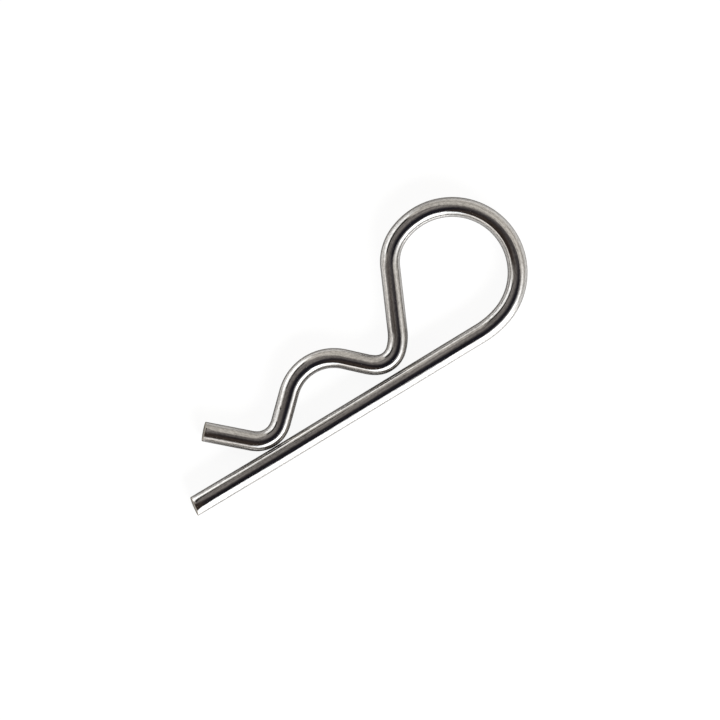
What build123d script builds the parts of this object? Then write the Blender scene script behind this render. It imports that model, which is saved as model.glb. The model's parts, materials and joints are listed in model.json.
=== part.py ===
"""Spring cotter pin (R-clip), bent from one length of round spring wire.

The clip lies flat in the XY plane. Its straight leg runs along X through the
cross hole of a shaft, and the wavy leg springs over the outside of that shaft.
The origin is the middle of the shaft seat, on the leg's axis and in the mid-plane
of the wire. +X points to the eye, +Y to the wavy leg and +Z out of the flat side.

From tip to toe the wire is a straight leg, an open eye, a neck, a first crest, a
hump over the shaft, a second crest that bears on the leg, and a turned-up toe.
"""

from build123d import *
from dataclasses import dataclass
from math import asin, atan2, cos, degrees, hypot, radians, sin, sqrt, tan
import os

# Wire
wire_diameter = 4.0
edge_break = 0.3

# Straight leg: past the second crest its tip has taken a slight set upward
tip_length = 17.0
tip_set_angle = 0.45
tip_set_radius = 400.0
tip_cut_angle = 7.5

# Eye: it opens out of the leg gently and closes through a tighter shoulder
eye_inside_radius = 11.1
eye_entry_inside_radius = 16.2
eye_entry_turn = 17.0
shoulder_inside_radius = 7.35
shoulder_turn = 41.0
neck_length = 12.8

# First crest: it stops short of the leg
first_crest_gap = 0.82
first_crest_inside_radius = 2.2
first_crest_lead_in_radius = 8.1
first_crest_lead_in_turn = 21.5
first_crest_lead_out_radius = 6.25
first_crest_lead_out_turn = 13.5

# Hump: the seat height is from the leg's axis to the inside of the wire, and the
# links are the straights that join the hump to the two crests
seat_height = 10.35
hump_inside_radius = 7.3
first_link_length = 4.6
second_link_length = 6.1

# Second crest: it bears on the leg, drawn with a hair of clearance
second_crest_clearance = 0.05
second_crest_inside_radius = 2.8
second_crest_lead_radius = 5.5
second_crest_lead_turn = 9.0

# Toe: turned up to lead the clip onto the shaft
toe_rise = 42.3
toe_length = 9.65

wire_radius = wire_diameter / 2
LEFT, RIGHT = 1, -1


@dataclass
class Bend:
    """A bend of the wire's centreline, softened where it meets each straight.

    The core has one radius about the centre. A lead is an arc of another radius
    that turns by its own angle between the core and the straight.
    """

    centre: Vector
    radius: float
    side: int
    lead_in_radius: float = 0.0
    lead_in_turn: float = 0.0
    lead_out_radius: float = 0.0
    lead_out_turn: float = 0.0


def along(heading):
    """Unit vector of travel, the heading in degrees from +X."""
    return Vector(cos(radians(heading)), sin(radians(heading)))


def reach(radius, lead_radius, lead_turn):
    """Distance from a bend's centre to the straight that its lead runs into."""
    return radius + (lead_radius - radius) * (1 - cos(radians(lead_turn)))


def carry(radius, lead_radius, lead_turn):
    """How far past the square to its centre a bend's lead meets the straight."""
    return (lead_radius - radius) * sin(radians(lead_turn))


def reach_in(bend):
    return reach(bend.radius, bend.lead_in_radius, bend.lead_in_turn)


def reach_out(bend):
    return reach(bend.radius, bend.lead_out_radius, bend.lead_out_turn)


def carry_in(bend):
    return carry(bend.radius, bend.lead_in_radius, bend.lead_in_turn)


def carry_out(bend):
    return carry(bend.radius, bend.lead_out_radius, bend.lead_out_turn)


def spread(before, after, straight):
    """Distance in X between two opposite bends joined by a straight of this length."""
    square = reach_out(before) + reach_in(after)
    run = straight + carry_out(before) + carry_in(after)
    rise = before.centre.Y - after.centre.Y
    return sqrt(square**2 + run**2 - rise**2)


def straight_heading(before, after):
    """Heading of the straight that touches one bend and then the next."""
    gap = after.centre - before.centre
    offset = after.side * reach_in(after) - before.side * reach_out(before)
    return degrees(atan2(gap.Y, gap.X) - asin(offset / hypot(gap.X, gap.Y))) % 360


def shift_to(bend, x):
    """Move a bend along the leg and keep its height."""
    bend.centre = Vector(x, bend.centre.Y)


def place_bends():
    """The four bends in the wire's order, spaced outward from the hump.

    The heights come from the leg, the seat and the gaps, and the places along the
    leg from the straights between the bends.
    """
    eye_radius = eye_inside_radius + wire_radius
    entry_radius = eye_entry_inside_radius + wire_radius
    eye = Bend(
        centre=Vector(0, reach(eye_radius, entry_radius, eye_entry_turn)),
        radius=eye_radius,
        side=LEFT,
        lead_in_radius=entry_radius,
        lead_in_turn=eye_entry_turn,
        lead_out_radius=shoulder_inside_radius + wire_radius,
        lead_out_turn=shoulder_turn,
    )
    first_radius = first_crest_inside_radius + wire_radius
    first_crest = Bend(
        centre=Vector(0, wire_diameter + first_crest_gap + first_radius),
        radius=first_radius,
        side=RIGHT,
        lead_in_radius=first_crest_lead_in_radius + wire_radius,
        lead_in_turn=first_crest_lead_in_turn,
        lead_out_radius=first_crest_lead_out_radius + wire_radius,
        lead_out_turn=first_crest_lead_out_turn,
    )
    hump = Bend(
        centre=Vector(0, seat_height - hump_inside_radius),
        radius=hump_inside_radius + wire_radius,
        side=LEFT,
    )
    second_radius = second_crest_inside_radius + wire_radius
    second_crest = Bend(
        centre=Vector(0, wire_diameter + second_crest_clearance + second_radius),
        radius=second_radius,
        side=RIGHT,
        lead_in_radius=second_crest_lead_radius + wire_radius,
        lead_in_turn=second_crest_lead_turn,
        lead_out_radius=second_crest_lead_radius + wire_radius,
        lead_out_turn=second_crest_lead_turn,
    )
    shift_to(first_crest, spread(first_crest, hump, first_link_length))
    shift_to(eye, first_crest.centre.X + spread(eye, first_crest, neck_length))
    shift_to(second_crest, -spread(hump, second_crest, second_link_length))
    return eye, first_crest, hump, second_crest


def add_straight(path, length):
    """Lengthen the path by a straight, in the direction in which it ends."""
    start, heading = path[-1]
    path.append((start + length * along(heading), heading))
    return Line(start, path[-1][0])


def add_arc(path, radius, turn):
    """Lengthen the path by an arc. A positive turn, in degrees, goes left."""
    start, heading = path[-1]
    arc = JernArc(start=start, tangent=along(heading), radius=radius, arc_size=turn)
    path.append((arc @ 1, heading + turn))
    return arc


def add_bend(path, bend, heading_out):
    """Lengthen the path by a bend's lead-in, core and lead-out."""
    whole_turn = (heading_out - path[-1][1]) * bend.side
    core_turn = whole_turn - bend.lead_in_turn - bend.lead_out_turn
    arcs = []
    if bend.lead_in_turn:
        arcs.append(add_arc(path, bend.lead_in_radius, bend.side * bend.lead_in_turn))
    arcs.append(add_arc(path, bend.radius, bend.side * core_turn))
    if bend.lead_out_turn:
        arcs.append(add_arc(path, bend.lead_out_radius, bend.side * bend.lead_out_turn))
    return arcs


def centreline():
    """The straights and tangent arcs of the wire's axis, from leg tip to toe end."""
    eye, first_crest, hump, second_crest = place_bends()
    neck_heading = straight_heading(eye, first_crest)
    first_link_heading = straight_heading(first_crest, hump)
    second_link_heading = straight_heading(hump, second_crest)

    set_start = Vector(
        second_crest.centre.X - tip_set_radius * sin(radians(tip_set_angle)),
        tip_set_radius * (1 - cos(radians(tip_set_angle))),
    )
    leg_length = eye.centre.X - carry_in(eye) - second_crest.centre.X
    tip = set_start - tip_length * along(-tip_set_angle)

    path = [(tip, -tip_set_angle)]
    runs = [add_straight(path, tip_length)]
    runs.append(add_arc(path, tip_set_radius, tip_set_angle))
    runs.append(add_straight(path, leg_length))
    runs += add_bend(path, eye, neck_heading)
    runs.append(add_straight(path, neck_length))
    runs += add_bend(path, first_crest, first_link_heading)
    runs.append(add_straight(path, first_link_length))
    runs += add_bend(path, hump, second_link_heading)
    runs.append(add_straight(path, second_link_length))
    runs += add_bend(path, second_crest, 180 - toe_rise)
    runs.append(add_straight(path, toe_length))
    return runs


def wire_along(run):
    """Round wire over one straight or arc of the centreline."""
    section = Plane(origin=run @ 0, z_dir=run % 0) * Circle(wire_radius)
    return sweep(section, path=run)


def sheared_tip(straight):
    """The tip's wire, run past its end and sheared a little out of square."""
    outward = (straight % 0) * -1
    overrun = wire_radius * tan(radians(tip_cut_angle))
    blank = wire_along(Line((straight @ 0) + outward * overrun, straight @ 1))
    shear = Plane(origin=straight @ 0, z_dir=outward.rotate(Axis.Z, -tip_cut_angle))
    return split(blank, bisect_by=shear, keep=Keep.BOTTOM)


def spring_wire():
    """The whole clip, with the edges of its two cut ends broken."""
    tip, *rest = centreline()
    wire = sheared_tip(tip) + [wire_along(run) for run in rest]
    cut_ends = wire.faces().filter_by(GeomType.PLANE)
    return fillet(cut_ends.edges(), edge_break)


os.makedirs("parts", exist_ok=True)
export_step(spring_wire(), "parts/spring_wire.step")
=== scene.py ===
"""Spring cotter pin: the polished look of one bent wire, on a pale stage.

The file is laid out as an add-on and is run as a script. Lengths are in metres and
the frame is the clip's own: the origin is the middle of the shaft seat, +X points
along the straight leg to the eye, +Y to the wavy leg and +Z out of the flat side.
"""

import json
from math import asin, atan2, cos, hypot, pi, radians, sin, sqrt, tan
from typing import NamedTuple

import bpy
import numpy as np
from bpy.props import FloatProperty, FloatVectorProperty, IntProperty, PointerProperty
from mathutils import Matrix


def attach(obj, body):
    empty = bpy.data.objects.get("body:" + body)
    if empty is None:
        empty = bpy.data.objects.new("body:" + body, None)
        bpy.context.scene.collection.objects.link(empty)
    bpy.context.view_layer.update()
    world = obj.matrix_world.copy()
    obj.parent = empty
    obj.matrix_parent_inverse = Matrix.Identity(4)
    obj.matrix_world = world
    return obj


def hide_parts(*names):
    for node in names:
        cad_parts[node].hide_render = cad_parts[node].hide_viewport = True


bl_info = {
    "name": "Spring Cotter Pin",
    "version": (1, 0, 0),
    "blender": (4, 5, 0),
    "location": "3D View > Sidebar > Spring Cotter",
    "description": "Builds a clip of polished spring wire and the pale stage that it lies on",
    "category": "Object",
}

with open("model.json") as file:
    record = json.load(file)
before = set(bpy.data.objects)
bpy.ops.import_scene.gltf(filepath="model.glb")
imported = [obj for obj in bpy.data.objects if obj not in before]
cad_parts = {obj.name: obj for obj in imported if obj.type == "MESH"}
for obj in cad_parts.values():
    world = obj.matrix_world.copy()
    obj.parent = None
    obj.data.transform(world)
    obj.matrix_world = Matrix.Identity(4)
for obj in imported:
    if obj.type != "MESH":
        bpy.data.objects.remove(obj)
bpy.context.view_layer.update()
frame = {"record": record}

MM = 0.001
LEFT, RIGHT = 1, -1
record_metal = frame["record"]["materials"][0]["base_color"]


def length(name, description, millimetres):
    """A length, its default written in millimetres."""
    return FloatProperty(
        name=name, description=description, default=millimetres * MM, unit="LENGTH", precision=5
    )


def angle(name, description, degrees):
    """An angle, its default written in degrees."""
    return FloatProperty(
        name=name, description=description, default=radians(degrees), subtype="ANGLE"
    )


def colour(name, description, rgb):
    """A linear colour."""
    return FloatVectorProperty(
        name=name, description=description, default=rgb, subtype="COLOR", size=3, min=0, max=1
    )


def share(name, description, value):
    """A plain number from 0 to 1."""
    return FloatProperty(name=name, description=description, default=value, min=0, max=1)


class WireSizes(bpy.types.PropertyGroup):
    """The wire and the bends that make the clip."""

    wire_diameter: length("Wire diameter", "Diameter of the round wire", 4.0)
    edge_break: length("Edge break", "Radius on the edges of the two cut ends", 0.12)

    tip_length: length("Tip length", "Straight tip past the slight set in the leg", 17.0)
    tip_set_angle: angle("Tip set", "How far the tip has set towards the wavy leg", 0.45)
    tip_set_radius: length("Tip set radius", "Radius of that gentle set", 400.0)
    tip_cut_angle: angle("Tip cut", "How far out of square the tip is sheared", 7.5)
    cut_lean: angle("Cut lean", "How far both cuts lean back at the top", 5.0)
    rollover: length("Rollover", "How far the blade pressed down the top of the wire at a cut", 0.3)
    rollover_reach: length("Rollover reach", "How far from a cut the top is back to its height", 4.0)

    eye_radius: length("Eye radius", "Inside radius of the eye", 11.1)
    eye_entry_radius: length("Eye entry radius", "Inside radius where the leg opens out", 16.2)
    eye_entry_turn: angle("Eye entry turn", "Turn of that entry", 17.0)
    shoulder_radius: length("Shoulder radius", "Inside radius where the eye closes", 7.35)
    shoulder_turn: angle("Shoulder turn", "Turn of the shoulder", 41.0)
    neck_length: length("Neck length", "Straight from the shoulder to the first crest", 12.8)

    first_crest_gap: length("First crest gap", "Gap from the first crest to the leg", 0.82)
    first_crest_radius: length("First crest radius", "Inside radius of the first crest", 2.2)
    first_lead_in_radius: length("First lead-in radius", "Inside radius of its lead-in", 8.1)
    first_lead_in_turn: angle("First lead-in turn", "Turn of its lead-in", 21.5)
    first_lead_out_radius: length("First lead-out radius", "Inside radius of its lead-out", 6.25)
    first_lead_out_turn: angle("First lead-out turn", "Turn of its lead-out", 13.5)

    seat_height: length("Seat height", "From the leg's axis to the inside of the hump", 10.35)
    hump_radius: length("Hump radius", "Inside radius of the hump", 7.3)
    first_link_length: length("First link", "Straight from the first crest to the hump", 4.6)
    second_link_length: length("Second link", "Straight from the hump to the second crest", 6.1)

    second_crest_gap: length("Second crest gap", "Clearance where it bears on the leg", 0.05)
    second_crest_radius: length("Second crest radius", "Inside radius of that crest", 2.8)
    second_lead_radius: length("Second lead radius", "Inside radius of its two leads", 5.5)
    second_lead_turn: angle("Second lead turn", "Turn of each of its two leads", 9.0)

    toe_rise: angle("Toe rise", "How far the toe turns up", 42.3)
    toe_length: length("Toe length", "Straight to the toe's cut end", 9.65)

    sides_around: IntProperty(
        name="Sides around", description="Faces around the wire", default=96, min=12
    )
    longest_face: length("Longest face", "Longest face along a straight", 1.2)
    turn_per_face: angle("Turn per face", "Turn of the wire over one face in a bend", 0.8)


class WireFinish(bpy.types.PropertyGroup):
    """The polished wire and its sheared ends."""

    steel: colour("Steel", "Colour of the polished steel", record_metal)
    polish: share("Polish", "Roughness of the wire where it is brightest", 0.03)
    streak_roughness: share("Streak roughness", "Roughness along the deeper draw lines", 0.22)
    grazing_tint: share("Grazing tint", "How bright the steel stays at its rim", 0.7)
    wave_height: length("Wave height", "Height of the slow waves that drawing left", 0.05)
    line_depth: length("Line depth", "Depth of the fine lines that drawing left", 0.016)
    nick_depth: length("Nick depth", "Depth of the small nicks from handling", 0.03)
    nick_share: share("Nick share", "Share of the places for a nick that have one", 0.28)

    cut_steel: colour("Cut steel", "Colour of a cut where the blade smeared it", (0.50, 0.46, 0.40))
    torn_steel: colour("Torn steel", "Colour of a cut where the steel tore", (0.20, 0.19, 0.165))
    smeared_roughness: share("Smeared roughness", "Roughness where the blade smeared it", 0.44)
    torn_roughness: share("Torn roughness", "Roughness where it tore", 0.66)
    mark_depth: length("Mark depth", "Depth of the blade marks on the cut ends", 0.06)
    tear_lowest: length("Tear lowest", "Least height to which a cut end is torn", -0.8)
    tear_highest: length("Tear highest", "Greatest height to which it is torn", 1.4)
    tear_softness: length("Tear softness", "Half width of the torn part's soft edge", 0.3)


class StageLook(bpy.types.PropertyGroup):
    """The camera, the floor and the light."""

    view_width: length("View width", "Width of the camera's square view", 144.0)
    view_turn: angle("View turn", "The camera's turn about the upright", -31.324)
    view_centre_x: length("View centre X", "Where the view's middle lies along the leg", 9.07)
    view_centre_y: length("View centre Y", "Where it lies towards the wavy leg", 7.95)
    camera_height: length("Camera height", "Height of the camera over the clip", 250.0)
    tent_radius: length("Tent radius", "Radius of the light tent round the clip", 400.0)
    tent_colour: colour("Tent", "Light from the tent's bare wall", (0.59, 0.558, 0.518))
    box_distance: length("Soft box distance", "From the clip to the soft box", 340.0)
    box_light: FloatProperty(
        name="Soft box light", description="Light from each point of the box, 1 is white", default=13.0
    )
    floor_size: length("Floor size", "Side of the square paper floor", 6000.0)
    floor_colour: colour("Floor", "Colour of the floor, as the steel mirrors it", (0.66, 0.655, 0.65))
    floor_roughness: share("Floor roughness", "Roughness of the floor's sheen", 0.4)
    floor_gloss: share("Floor gloss", "Strength of the floor's sheen", 0.85)
    seen_colour: colour("Seen floor", "How the camera sees light on the floor", (0.15, 0.15, 0.15))
    seen_lift: share("Seen lift", "Added so that the camera sees the floor white", 0.915)
    mirrored_share: share("Mirrored share", "Share of that white which the steel mirrors", 0.05)


class Bend(NamedTuple):
    """A bend of the wire's centreline: a core arc with a softer arc on each side.

    height is its centre's height over the leg's axis. A lead turns by its own angle
    between the core and the straight.
    """

    height: float
    radius: float
    side: int
    lead_in_radius: float = 0.0
    lead_in_turn: float = 0.0
    lead_out_radius: float = 0.0
    lead_out_turn: float = 0.0


def reach(radius, lead_radius, lead_turn):
    """Distance from a bend's centre to the straight that its lead runs into."""
    return radius + (lead_radius - radius) * (1 - cos(lead_turn))


def carry(radius, lead_radius, lead_turn):
    """How far past the square to its centre a bend's lead meets the straight."""
    return (lead_radius - radius) * sin(lead_turn)


def way_in(bend):
    """Reach and carry of a bend's lead-in."""
    lead = bend.radius, bend.lead_in_radius, bend.lead_in_turn
    return reach(*lead), carry(*lead)


def way_out(bend):
    """Reach and carry of a bend's lead-out."""
    lead = bend.radius, bend.lead_out_radius, bend.lead_out_turn
    return reach(*lead), carry(*lead)


def spread(before, after, straight):
    """Distance along the leg between two opposite bends joined by a straight."""
    reach_out, carry_out = way_out(before)
    reach_in, carry_in = way_in(after)
    run = straight + carry_out + carry_in
    return sqrt((reach_out + reach_in) ** 2 + run**2 - (before.height - after.height) ** 2)


def straight_heading(before, after, spacing):
    """Heading of the straight from one bend to the next, spacing away towards the tip."""
    rise = after.height - before.height
    offset = after.side * way_in(after)[0] - before.side * way_out(before)[0]
    return atan2(rise, -spacing) - asin(offset / hypot(spacing, rise))


def wire_bends(sizes):
    """The eye, the first crest, the hump and the second crest."""
    half = sizes.wire_diameter / 2
    eye_radius = sizes.eye_radius + half
    entry_radius = sizes.eye_entry_radius + half
    eye = Bend(
        height=reach(eye_radius, entry_radius, sizes.eye_entry_turn),
        radius=eye_radius,
        side=LEFT,
        lead_in_radius=entry_radius,
        lead_in_turn=sizes.eye_entry_turn,
        lead_out_radius=sizes.shoulder_radius + half,
        lead_out_turn=sizes.shoulder_turn,
    )
    first_radius = sizes.first_crest_radius + half
    first_crest = Bend(
        height=sizes.wire_diameter + sizes.first_crest_gap + first_radius,
        radius=first_radius,
        side=RIGHT,
        lead_in_radius=sizes.first_lead_in_radius + half,
        lead_in_turn=sizes.first_lead_in_turn,
        lead_out_radius=sizes.first_lead_out_radius + half,
        lead_out_turn=sizes.first_lead_out_turn,
    )
    hump = Bend(
        height=sizes.seat_height - sizes.hump_radius, radius=sizes.hump_radius + half, side=LEFT
    )
    second_radius = sizes.second_crest_radius + half
    second_crest = Bend(
        height=sizes.wire_diameter + sizes.second_crest_gap + second_radius,
        radius=second_radius,
        side=RIGHT,
        lead_in_radius=sizes.second_lead_radius + half,
        lead_in_turn=sizes.second_lead_turn,
        lead_out_radius=sizes.second_lead_radius + half,
        lead_out_turn=sizes.second_lead_turn,
    )
    return eye, first_crest, hump, second_crest


def bend_runs(bend, heading_in, heading_out):
    """(length, curvature) of a bend's lead-in, core and lead-out."""
    whole_turn = ((heading_out - heading_in) * bend.side) % (2 * pi)
    core_turn = whole_turn - bend.lead_in_turn - bend.lead_out_turn
    arcs = (
        (bend.lead_in_radius, bend.lead_in_turn),
        (bend.radius, core_turn),
        (bend.lead_out_radius, bend.lead_out_turn),
    )
    return [(radius * turn, bend.side / radius) for radius, turn in arcs if turn]


class Centreline:
    """The wire's axis, from the leg's tip to the toe's end, as straights and arcs.

    From a run's start the axis goes d * sinc(k d / 2) along the heading h + k d / 2,
    where k is the run's curvature. That holds for an arc and, with k of 0, a straight.
    Points are complex numbers, x + iy.
    """

    def __init__(self, sizes):
        eye, first_crest, hump, second_crest = wire_bends(sizes)
        to_eye = spread(eye, first_crest, sizes.neck_length)
        to_first = spread(first_crest, hump, sizes.first_link_length)
        to_second = spread(hump, second_crest, sizes.second_link_length)
        neck = straight_heading(eye, first_crest, to_eye)
        first_link = straight_heading(first_crest, hump, to_first)
        second_link = straight_heading(hump, second_crest, to_second)
        leg_length = to_eye + to_first + to_second - way_in(eye)[1]

        runs = [
            (sizes.tip_length, 0.0),
            (sizes.tip_set_radius * sizes.tip_set_angle, 1 / sizes.tip_set_radius),
            (leg_length, 0.0),
            *bend_runs(eye, 0.0, neck),
            (sizes.neck_length, 0.0),
            *bend_runs(first_crest, neck, first_link),
            (sizes.first_link_length, 0.0),
            *bend_runs(hump, first_link, second_link),
            (sizes.second_link_length, 0.0),
            *bend_runs(second_crest, second_link, pi - sizes.toe_rise),
            (sizes.toe_length, 0.0),
        ]
        self.lengths, self.curvatures = np.array(runs).T
        turns = self.lengths * self.curvatures
        self.headings = np.cumsum(np.r_[-sizes.tip_set_angle, turns[:-1]])
        chords = self.chord(self.lengths, self.curvatures, self.headings)
        contact = -to_second
        leg_start = chords[:2].sum()
        self.starts = contact - leg_start + np.r_[0, np.cumsum(chords[:-1])]
        self.distances = np.r_[0, np.cumsum(self.lengths)]

    @staticmethod
    def chord(distance, curvature, heading):
        """Where a run gets to, from its start."""
        half_turn = curvature * distance / 2
        return distance * np.sinc(half_turn / pi) * np.exp(1j * (heading + half_turn))

    def at(self, distance):
        """(point, direction of travel) at distances along the wire."""
        run = np.searchsorted(self.distances[1:-1], distance, side="right")
        past = distance - self.distances[run]
        curvature, heading = self.curvatures[run], self.headings[run]
        point = self.starts[run] + self.chord(past, curvature, heading)
        return point, np.exp(1j * (heading + curvature * past))

    def stations(self, longest, turn):
        """Distances of the sections, closer together where the wire bends."""
        turned = np.abs(self.lengths * self.curvatures)
        counts = np.ceil(np.maximum(self.lengths / longest, turned / turn)).astype(int)
        spans = zip(self.distances[:-1], self.lengths, counts)
        return np.concatenate([start + span * np.arange(n) / n for start, span, n in spans])


# Rings over the flat of a cut, round its broken edge and over the rolled-over wire
FLAT_RINGS, EDGE_RINGS, ROLLOVER_RINGS = 8, 7, 24
# How fast the rollover dies away over its reach
ROLLOVER_FADE = 5


def steps(last, count):
    """Equal steps up to last, without the 0 that they start from."""
    return np.linspace(0, last, count + 1)[1:]


def wire_rows(sizes, line):
    """(distance along, radius, tilt, lean, sink, on a cut end) of every ring of the surface.

    An end's rings run out from its centre over the flat of the cut, then round the
    broken edge in a quarter circle. tilt and lean are the tangents of the angles by
    which a ring goes along the wire to its left and at its top. They die away from the
    cut, and so does sink, the share exp(-fade * d / reach) of the rollover at the top.
    Both cuts stand back by half of what the lean adds.
    """
    half, edge, reach = sizes.wire_diameter / 2, sizes.edge_break, sizes.rollover_reach
    flat = steps(half - edge, FLAT_RINGS)
    turn = steps(pi / 2, EDGE_RINGS)
    past = steps(1, ROLLOVER_RINGS)
    cut_face = np.ones(FLAT_RINGS + EDGE_RINGS)
    stand_back = half * tan(sizes.cut_lean) / 2
    inset = stand_back + np.r_[0 * flat, edge * (1 - np.cos(turn)), edge + past * reach]
    radius = np.r_[flat, half - edge + edge * np.sin(turn), 0 * past + half]
    square = np.r_[cut_face, 1 - past]
    sunk = np.r_[cut_face, np.exp(-ROLLOVER_FADE * past)]
    on_cut = np.r_[cut_face, 0 * past]

    whole = line.distances[-1]
    body = line.stations(sizes.longest_face, sizes.turn_per_face)
    body = body[(body > inset[-1] + edge) & (body < whole - inset[-1] - edge)]
    plain = 0 * body
    distance = np.r_[inset, body, whole - inset[::-1]]
    radii = np.r_[radius, plain + half, radius[::-1]]
    tilt = np.r_[square * tan(sizes.tip_cut_angle), plain, 0 * square]
    lean = np.r_[square, plain, -square[::-1]] * tan(sizes.cut_lean)
    sink = np.r_[sunk, plain, sunk[::-1]] * sizes.rollover / half
    cut = np.r_[on_cut, plain, on_cut[::-1]]
    return distance, radii, tilt, lean, sink, cut


def wire_mesh(sizes):
    """One closed surface: a circle carried along the centreline.

    A vertex is the axis point, plus radius * cos(a) to the left of travel and radius *
    sin(a) upward, plus the left part times the tilt and the upward part times the lean
    along the wire. The part over the axis is lowered by its share of the sink. The two
    poles at the ends' centres close it. The seam of the ring is underneath.
    """
    line = Centreline(sizes)
    distance, radius, tilt, lean, sink, cut = wire_rows(sizes, line)
    point, travel = line.at(distance)
    around = sizes.sides_around
    turn = -pi / 2 + 2 * pi * np.arange(around) / around
    left = radius[:, None] * np.cos(turn)
    up = radius[:, None] * np.sin(turn)
    along = tilt[:, None] * left + lean[:, None] * up
    flat = point[:, None] + travel[:, None] * (1j * left + along)
    height = up - sink[:, None] * np.maximum(up, 0)
    rings = np.stack([flat.real, flat.imag, height], axis=-1).reshape(-1, 3)
    ends = line.at(distance[[0, -1]])[0]
    poles = np.stack([ends.real, ends.imag, np.zeros(2)], axis=-1)
    vertices = np.concatenate([rings, poles])

    row = np.arange(distance.size - 1)[:, None] * around
    here = np.arange(around)
    beside = (here + 1) % around
    quads = np.stack([row + here, row + beside, row + around + beside, row + around + here], axis=-1)
    last = (distance.size - 1) * around
    tip_fan = np.stack([np.full(around, rings.shape[0]), beside, here], axis=-1)
    toe_fan = np.stack([np.full(around, rings.shape[0] + 1), last + here, last + beside], axis=-1)
    faces = [*quads.reshape(-1, 4).tolist(), *tip_fan.tolist(), *toe_fan.tolist()]
    on_cut = np.repeat((cut[:-1] + cut[1:]) > 1, around)
    material = np.r_[on_cut, np.ones(2 * around)].astype(np.int32)

    mesh = bpy.data.meshes.new("wire")
    mesh.from_pydata(vertices.tolist(), [], faces)
    mesh.polygons.foreach_set("material_index", material)
    mesh.polygons.foreach_set("use_smooth", np.ones(len(faces), bool))

    place = np.stack([left, up, np.broadcast_to(distance[:, None], left.shape)], axis=-1)
    pole_place = np.array([[0, 0, distance[0]], [0, 0, distance[-1]]])
    store = mesh.attributes.new("wire_place", "FLOAT_VECTOR", "POINT")
    store.data.foreach_set("vector", np.concatenate([place.reshape(-1, 3), pole_place]).ravel())
    mesh.validate()
    mesh.update()
    return mesh


class Shader:
    """Short hand for a material's nodes."""

    # The colour sockets of a Mix node, whose names it shares with its other sockets
    MIX_FIRST, MIX_SECOND, MIX_RESULT = 6, 7, 2

    def __init__(self, owner):
        owner.use_nodes = True
        self.tree = owner.node_tree
        self.tree.nodes.clear()

    def add(self, kind, inputs=None, **settings):
        """A node with its settings, its inputs values or other nodes' sockets."""
        node = self.tree.nodes.new(kind)
        for name, value in settings.items():
            setattr(node, name, value)
        for name, value in (inputs or {}).items():
            if isinstance(value, bpy.types.NodeSocket):
                self.tree.links.new(value, node.inputs[name])
            else:
                node.inputs[name].default_value = value
        return node

    def maths(self, operation, *values):
        """The result of a Math node."""
        node = self.add("ShaderNodeMath", dict(enumerate(values)), operation=operation)
        return node.outputs[0]

    def place(self):
        """The place in the wire: left and up in its own section, and along it."""
        return self.add("ShaderNodeAttribute", attribute_name="wire_place").outputs["Vector"]

    def cells(self, grain):
        """The place in the wire, counted in the grain's cells per metre each way."""
        inputs = {"Vector": self.place(), "Scale": grain}
        return self.add("ShaderNodeMapping", inputs).outputs["Vector"]

    def noise(self, grain, detail=2.0, roughness=0.5):
        """Noise from 0 to 1, with the grain's cells per metre left, up and along."""
        inputs = {"Vector": self.cells(grain), "Scale": 1.0, "Detail": detail, "Roughness": roughness}
        return self.add("ShaderNodeTexNoise", inputs).outputs["Fac"]

    def between(self, factor, low, high, span=(0.0, 1.0)):
        """A value that goes from low to high as factor goes over its span."""
        inputs = {
            "Value": factor,
            "From Min": span[0],
            "From Max": span[1],
            "To Min": low,
            "To Max": high,
        }
        return self.add("ShaderNodeMapRange", inputs).outputs["Result"]

    def mixed(self, factor, first, second):
        """A mix of two colours: the first where factor is 0 and the second where it is 1."""
        inputs = {"Factor": factor, self.MIX_FIRST: first, self.MIX_SECOND: second}
        return self.add("ShaderNodeMix", inputs, data_type="RGBA").outputs[self.MIX_RESULT]

    def toned(self, factor, rgb, tones):
        """One colour, darkened or brightened from its first tone to its second."""
        return self.mixed(factor, tinted(rgb, tones[0]), tinted(rgb, tones[1]))

    def bumped(self, height, depth, strength=1.0, over=None):
        """The surface's direction with a pattern of a given depth pressed into it."""
        inputs = {"Height": height, "Strength": strength, "Distance": depth}
        if over:
            inputs["Normal"] = over
        return self.add("ShaderNodeBump", inputs).outputs["Normal"]

    def edge(self, value, softness):
        """0 below -softness and 1 over softness, smooth between them."""
        inputs = {"Value": value, "From Min": -softness, "From Max": softness}
        node = self.add("ShaderNodeMapRange", inputs, interpolation_type="SMOOTHSTEP")
        return node.outputs["Result"]

    def surface(self, shader, output="ShaderNodeOutputMaterial"):
        """The shader as the material's or the world's surface."""
        node = self.add(output)
        self.tree.links.new(shader, node.inputs["Surface"])


def tinted(rgb, level):
    """A colour times a level, with its alpha."""
    return (*(min(1.0, c * level) for c in rgb), 1.0)


# Cells per metre of each pattern: to the wire's left, up and along it
DRAW_LINES = (2600, 2600, 60)
MOTTLE = (3600, 3600, 1500)
SLOW_WAVES = (450, 450, 90)
NICKS = (260, 260, 260)
BLADE_MARKS = (3500, 350, 0)
TORN_GRAIN = (5000, 5000, 5000)
RAGGED_EDGE = (1400, 1400, 0)

# Darkest and palest tone of the steel, as shares of its colour
WIRE_TONES = (0.65, 1.35)
CUT_TONES = (0.7, 1.3)

# The wire's grain is two noises added, so it lies round 1. It goes from dark to pale
# over the first span and from bright to dull over the second
TONE_SPAN = (0.786, 1.214)
DULL_SPAN = (0.95, 1.4)

# A nick's radius, as a share of its cell
NICK_RADIUS = 0.12
# How fully the torn steel's colour covers that of the smeared steel
TORN_COVER = 0.85
# Strength of the marks on a cut
CUT_RELIEF = 0.6


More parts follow.
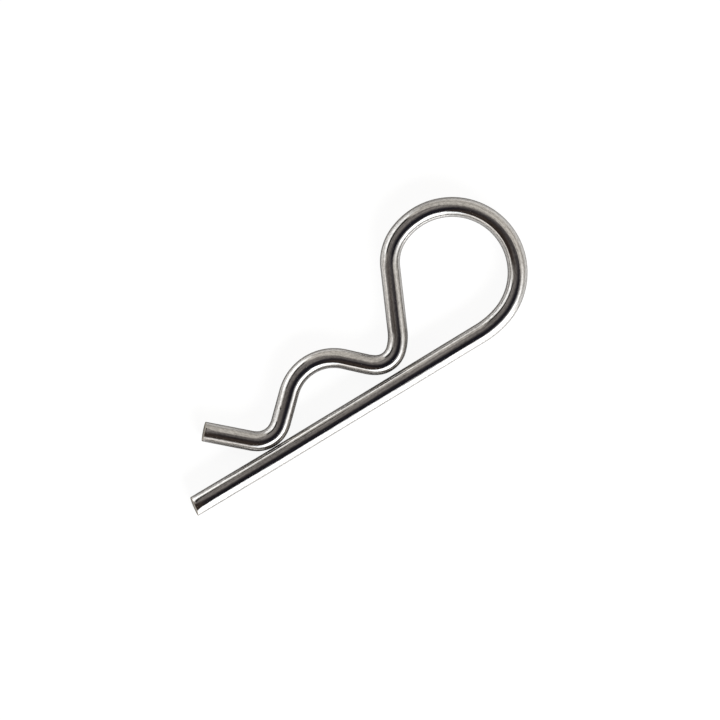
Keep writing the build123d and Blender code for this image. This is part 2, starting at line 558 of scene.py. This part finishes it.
def nick_height(make, nick_share):
    """Height of the surface over its nicks: 0 in the middle of a nick and 1 off it.

    Space is cut into cells with one point each. A nick is a small dent round the point,
    and only the share of the cells whose random value is highest have one.
    """
    point = make.add("ShaderNodeTexVoronoi", {"Vector": make.cells(NICKS), "Scale": 1.0})
    chance = make.add("ShaderNodeSeparateColor", {"Color": point.outputs["Color"]}).outputs["Red"]
    has_nick = make.maths("GREATER_THAN", chance, 1 - nick_share)
    half = NICK_RADIUS / 2
    outside = make.edge(make.maths("SUBTRACT", point.outputs["Distance"], half), half)
    dent = make.maths("MULTIPLY", make.maths("SUBTRACT", 1.0, outside), has_nick)
    return make.maths("SUBTRACT", 1.0, dent)


def polished_wire_material(finish):
    """Bright drawn wire: near mirror, with draw lines, a mottled grain and a few nicks.

    The draw lines run along the wire. Along the deeper ones the polish is dull, so they
    show as pale streaks where the wire mirrors something dark.
    """
    material = bpy.data.materials.new("polished_wire")
    make = Shader(material)
    draw_lines = make.noise(DRAW_LINES, detail=4, roughness=0.6)
    grain = make.maths("ADD", draw_lines, make.noise(MOTTLE, detail=3, roughness=0.7))
    tone = make.between(grain, 0.0, 1.0, TONE_SPAN)
    waved = make.bumped(make.noise(SLOW_WAVES, detail=1), finish.wave_height)
    lined = make.bumped(draw_lines, finish.line_depth, over=waved)
    nicked = make.bumped(nick_height(make, finish.nick_share), finish.nick_depth, over=lined)
    metal = make.add(
        "ShaderNodeBsdfPrincipled",
        {
            "Base Color": make.toned(tone, finish.steel, WIRE_TONES),
            "Metallic": 1.0,
            "Roughness": make.between(grain, finish.polish, finish.streak_roughness, DULL_SPAN),
            "Specular Tint": tinted((1, 1, 1), finish.grazing_tint),
            "Normal": nicked,
        },
    )
    make.surface(metal.outputs["BSDF"])
    return material


def sheared_end_material(finish):
    """The cut ends: the blade smeared the steel at the top, and lower down it tore."""
    material = bpy.data.materials.new("sheared_end")
    make = Shader(material)
    up = make.add("ShaderNodeSeparateXYZ", {"Vector": make.place()}).outputs["Y"]
    ragged = make.between(make.noise(RAGGED_EDGE, detail=3), finish.tear_lowest, finish.tear_highest)
    torn = make.edge(make.maths("SUBTRACT", ragged, up), finish.tear_softness)
    blade_marks = make.noise(BLADE_MARKS, detail=3)
    torn_grain = make.noise(TORN_GRAIN, detail=4, roughness=0.6)
    marks = make.between(torn, blade_marks, torn_grain)
    smeared_colour = make.toned(marks, finish.cut_steel, CUT_TONES)
    torn_share = make.maths("MULTIPLY", torn, TORN_COVER)
    metal = make.add(
        "ShaderNodeBsdfPrincipled",
        {
            "Base Color": make.mixed(torn_share, smeared_colour, tinted(finish.torn_steel, 1.0)),
            "Metallic": 1.0,
            "Roughness": make.between(torn, finish.smeared_roughness, finish.torn_roughness),
            "Normal": make.bumped(marks, finish.mark_depth, strength=CUT_RELIEF),
        },
    )
    make.surface(metal.outputs["BSDF"])
    return material


class WIRE_OT_spring_wire(bpy.types.Operator):
    """Builds the bent wire clip with its polished and sheared surfaces"""

    bl_idname = "wire.spring_wire"
    bl_label = "Spring Wire"
    bl_options = {"REGISTER", "UNDO"}

    def execute(self, context):
        finish = context.scene.wire_finish
        mesh = wire_mesh(context.scene.wire_sizes)
        mesh.materials.append(polished_wire_material(finish))
        mesh.materials.append(sheared_end_material(finish))
        wire = bpy.data.objects.new("wire", mesh)
        context.scene.collection.objects.link(wire)
        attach(wire, "root")
        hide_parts("spring_wire")
        return {"FINISHED"}


class Card(NamedTuple):
    """A soft-edged card of painted glow, bright or dark, on the tent's wall, as the clip sees it.

    azimuth counts from the right of the view, and down from straight overhead. turn is
    about the line to the card. tall and wide are half sizes, as shares of the distance.
    """

    azimuth: float
    down: float
    turn: float
    tall: float
    wide: float
    softness: float = 0.0
    light: tuple = (1.0, 1.0, 1.0)

    def facing(self):
        """The turn that takes Z to the card's middle, and X down its height."""
        round_upright = Matrix.Rotation(radians(self.azimuth), 3, "Z")
        round_level = Matrix.Rotation(radians(self.down), 3, "Y")
        round_itself = Matrix.Rotation(radians(self.turn), 3, "Z")
        return round_upright @ round_level @ round_itself


SOFT_BOX = Card(306, 66, -3, tall=0.21, wide=0.50)

# Painted on the tent's wall in this order, as glow that the steel mirrors in place of lit panels,
# boards, flags and the lamp. The soft box stands inside its own glow
TENT_CARDS = {
    "side_haze": Card(234, 53, 3, tall=0.36, wide=1.35, softness=0.11, light=(1.88, 1.82, 1.77)),
    "grey_board": Card(136, -5, 3, tall=1.04, wide=0.52, softness=0.08, light=(0.24, 0.22, 0.21)),
    "board_shade": Card(144, 49, 12, tall=0.16, wide=0.30, softness=0.09, light=(0.05, 0.047, 0.043)),
    "brown_flag": Card(271, 34, -10, tall=0.62, wide=4.6, softness=0.40, light=(0.05, 0.038, 0.032)),
    "black_flag": Card(318, 37.5, -9, tall=0.84, wide=0.40, softness=0.50, light=(0.016, 0.015, 0.021)),
    "side_glow": Card(282, 62, 22, tall=0.18, wide=0.35, softness=0.13, light=(1.50, 1.54, 1.58)),
    "low_glow": Card(305, 86, 33, tall=0.36, wide=1.10, softness=0.90, light=(2.4, 2.4, 2.4)),
    "box_glow": Card(307.5, 65.5, -3, tall=0.21, wide=0.51, softness=0.05, light=(2.2, 2.2, 2.2)),
    "side_panel": Card(145, 76, 21, tall=0.25, wide=0.48, softness=0.36, light=(1.53, 1.53, 1.53)),
}


def tent_material(look):
    """The tent's wall glows pale grey, though it is no lamp, with the cards painted on it in soft-edged
    patches of brighter or darker glow that the steel mirrors.

    In a card's own axes a direction is on the card where |x| / tall and |y| / wide are
    both under z, because the card stands square to z at a distance of 1.
    """
    material = bpy.data.materials.new("tent_wall")
    make = Shader(material)
    place = make.add("ShaderNodeTexCoord").outputs["Object"]
    toward = make.add("ShaderNodeVectorMath", {0: place}, operation="NORMALIZE").outputs["Vector"]
    light = (*look.tent_colour, 1.0)
    for card in TENT_CARDS.values():
        inputs = {
            "Vector": toward,
            "Rotation": card.facing().to_euler(),
            "Scale": (card.tall, card.wide, 1.0),
        }
        on_card = make.add("ShaderNodeMapping", inputs, vector_type="TEXTURE").outputs["Vector"]
        x, y, z = make.add("ShaderNodeSeparateXYZ", {"Vector": on_card}).outputs
        within_height = make.maths("SUBTRACT", z, make.maths("ABSOLUTE", x))
        within_width = make.maths("SUBTRACT", z, make.maths("ABSOLUTE", y))
        covered = make.maths(
            "MULTIPLY",
            make.edge(within_height, card.softness),
            make.edge(within_width, card.softness),
        )
        light = make.mixed(covered, light, (*card.light, 1.0))
    glow = make.add("ShaderNodeEmission", {"Color": light, "Strength": 1.0})
    make.surface(glow.outputs[0])
    # Bounced rays find the tent by themselves, so it isn't sampled as a lamp
    material.cycles.emission_sampling = "NONE"
    return material


def pale_floor_material(look):
    """White paper with a sheen. The camera sees it white, with the clip's faint shadow."""
    material = bpy.data.materials.new("pale_floor")
    make = Shader(material)
    paths = make.add("ShaderNodeLightPath")
    seen = make.maths("ADD", paths.outputs["Is Camera Ray"], paths.outputs["Is Transmission Ray"])
    seen = make.maths("MULTIPLY_ADD", paths.outputs["Is Glossy Ray"], look.mirrored_share, seen)
    paper = make.add(
        "ShaderNodeBsdfPrincipled",
        {
            "Base Color": tinted(look.floor_colour, 1.0),
            "Roughness": look.floor_roughness,
            "Specular IOR Level": look.floor_gloss,
        },
    )
    shade = make.add("ShaderNodeBsdfDiffuse", {"Color": tinted(look.seen_colour, 1.0)})
    glow = make.add("ShaderNodeEmission", {"Strength": look.seen_lift})
    white = make.add("ShaderNodeAddShader", {0: shade.outputs[0], 1: glow.outputs[0]})
    both = make.add("ShaderNodeMixShader", {0: seen, 1: paper.outputs[0], 2: white.outputs[0]})
    make.surface(both.outputs[0])
    return material


def stage_object(name, data):
    """A linked object that isn't part of the clip."""
    piece = bpy.data.objects.new(name, data)
    bpy.context.scene.collection.objects.link(piece)
    return piece


def add_floor(sizes, look):
    """A square sheet that touches the wire from below."""
    far, down = look.floor_size / 2, -sizes.wire_diameter / 2
    corners = [(-far, -far, down), (far, -far, down), (far, far, down), (-far, far, down)]
    mesh = bpy.data.meshes.new("floor")
    mesh.from_pydata(corners, [], [(0, 1, 2, 3)])
    mesh.materials.append(pale_floor_material(look))
    return stage_object("floor", mesh)


def add_tent(look):
    """A dome round the clip, which the steel mirrors and the camera looks through.

    A point of the dome is radius * (sin p cos a, sin p sin a, cos p), with p from
    straight overhead to just under the floor.
    """
    columns, rows, lowest = 64, 24, radians(95)
    around = 2 * pi * np.arange(columns) / columns
    down = steps(lowest, rows)[:, None]
    flat = look.tent_radius * np.sin(down)
    height = look.tent_radius * np.cos(down + 0 * around)
    ring = np.stack([flat * np.cos(around), flat * np.sin(around), height], axis=-1)
    here = np.arange(columns)
    beside = (here + 1) % columns
    row = 1 + columns * np.arange(rows - 1)[:, None]
    quads = np.stack([row + here, row + columns + here, row + columns + beside, row + beside], axis=-1)
    top = np.stack([np.zeros_like(here), 1 + here, 1 + beside], axis=-1)
    vertices = np.concatenate([[[0, 0, look.tent_radius]], ring.reshape(-1, 3)])
    mesh = bpy.data.meshes.new("tent")
    mesh.from_pydata(vertices.tolist(), [], [*top.tolist(), *quads.reshape(-1, 4).tolist()])
    mesh.materials.append(tent_material(look))
    tent = stage_object("tent", mesh)
    tent.location = (look.view_centre_x, look.view_centre_y, 0)
    tent.rotation_euler = (0, 0, look.view_turn)
    tent.visible_camera = False


def add_soft_box(look, floor):
    """The main light: a big soft box low on one side.

    It lights the floor alone. The steel mirrors the glow painted where the box stands.
    """
    distance = look.box_distance
    lamp = bpy.data.lights.new("soft_box", "AREA")
    lamp.shape = "RECTANGLE"
    lamp.size = 2 * SOFT_BOX.tall * distance
    lamp.size_y = 2 * SOFT_BOX.wide * distance
    lamp.energy = look.box_light * pi * lamp.size * lamp.size_y
    facing = Matrix.Rotation(look.view_turn, 3, "Z") @ SOFT_BOX.facing()
    box = stage_object("soft_box", lamp)
    box.rotation_euler = facing.to_euler()
    box.location = facing @ Matrix.Identity(3).col[2] * distance
    box.location.x += look.view_centre_x
    box.location.y += look.view_centre_y
    box.visible_camera = False
    lit = bpy.data.collections.new("lit_by_the_box")
    lit.objects.link(floor)
    box.light_linking.receiver_collection = lit


def add_camera(look):
    """A long lens straight overhead, level with the floor."""
    lens = bpy.data.cameras.new("camera")
    lens.type = "ORTHO"
    lens.ortho_scale = look.view_width
    camera = bpy.data.objects.new("camera", lens)
    camera.location = (look.view_centre_x, look.view_centre_y, look.camera_height)
    camera.rotation_euler = (0, 0, look.view_turn)
    bpy.context.scene.collection.objects.link(camera)
    bpy.context.scene.camera = camera


def add_white_surroundings():
    """Plain white past the floor's edge."""
    world = bpy.data.worlds.new("white_surroundings")
    make = Shader(world)
    background = make.add("ShaderNodeBackground", {"Color": (1, 1, 1, 1), "Strength": 1.0})
    make.surface(background.outputs[0], "ShaderNodeOutputWorld")
    bpy.context.scene.world = world


class WIRE_OT_stage(bpy.types.Operator):
    """Adds the floor, the light tent, the soft box and the camera"""

    bl_idname = "wire.stage"
    bl_label = "Stage"
    bl_options = {"REGISTER", "UNDO"}

    def execute(self, context):
        look = context.scene.stage_look
        context.scene.view_settings.view_transform = "Standard"
        floor = add_floor(context.scene.wire_sizes, look)
        add_tent(look)
        add_soft_box(look, floor)
        add_camera(look)
        add_white_surroundings()
        return {"FINISHED"}


class WIRE_PT_clip(bpy.types.Panel):
    """Sizes, finish and stage of the clip"""

    bl_idname = "WIRE_PT_clip"
    bl_label = "Spring Cotter"
    bl_space_type = "VIEW_3D"
    bl_region_type = "UI"
    bl_category = "Spring Cotter"

    def draw(self, context):
        layout = self.layout
        for group in (context.scene.wire_sizes, context.scene.wire_finish, context.scene.stage_look):
            column = layout.column(align=True)
            for name in group.__annotations__:
                column.prop(group, name)
        layout.operator(WIRE_OT_spring_wire.bl_idname)
        layout.operator(WIRE_OT_stage.bl_idname)


classes = (WireSizes, WireFinish, StageLook, WIRE_OT_spring_wire, WIRE_OT_stage, WIRE_PT_clip)


def register():
    for each in classes:
        bpy.utils.register_class(each)
    bpy.types.Scene.wire_sizes = PointerProperty(type=WireSizes)
    bpy.types.Scene.wire_finish = PointerProperty(type=WireFinish)
    bpy.types.Scene.stage_look = PointerProperty(type=StageLook)


def unregister():
    del bpy.types.Scene.stage_look
    del bpy.types.Scene.wire_finish
    del bpy.types.Scene.wire_sizes
    for each in reversed(classes):
        bpy.utils.unregister_class(each)


def main():
    register()
    bpy.ops.wire.spring_wire()
    bpy.ops.wire.stage()


if __name__ == "__main__":
    main()
